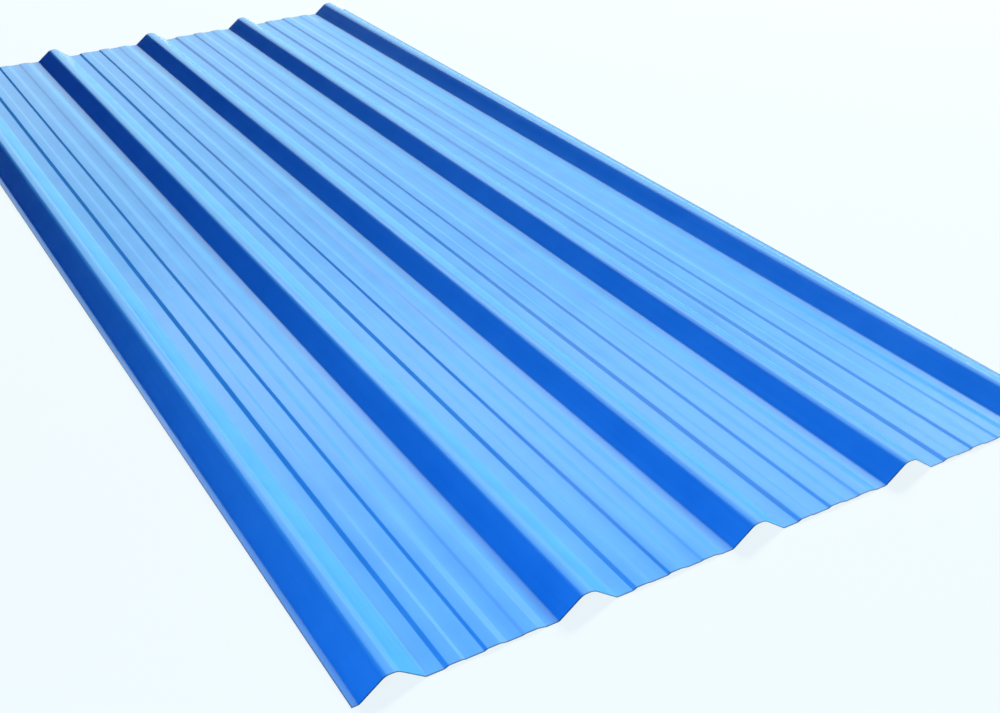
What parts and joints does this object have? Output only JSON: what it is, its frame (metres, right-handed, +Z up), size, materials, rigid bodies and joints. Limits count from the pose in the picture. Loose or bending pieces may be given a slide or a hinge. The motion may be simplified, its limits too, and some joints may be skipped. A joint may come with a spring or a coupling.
{
  "type": "corrugated metal roofing sheet",
  "caption": "Long thin coated steel roofing sheet, rolled into low rounded ribs with shallow beads along the pans between them, to lap its neighbours over purlins.",
  "frame": {"origin": "middle of the sheet in plan, at the level of its underside", "axes": "+X across the ribs, +Y along the ribs and the length of the sheet, +Z up, to the painted face"},
  "size_m": [0.9, 2, 0.0205],
  "materials": {
    "blue_coated_steel": "sky-blue factory paint, semi-gloss, on thin galvanised steel"
  },
  "bodies": {
    "root": {"roofing_sheet": "blue_coated_steel"}
  },
  "joints": []
}
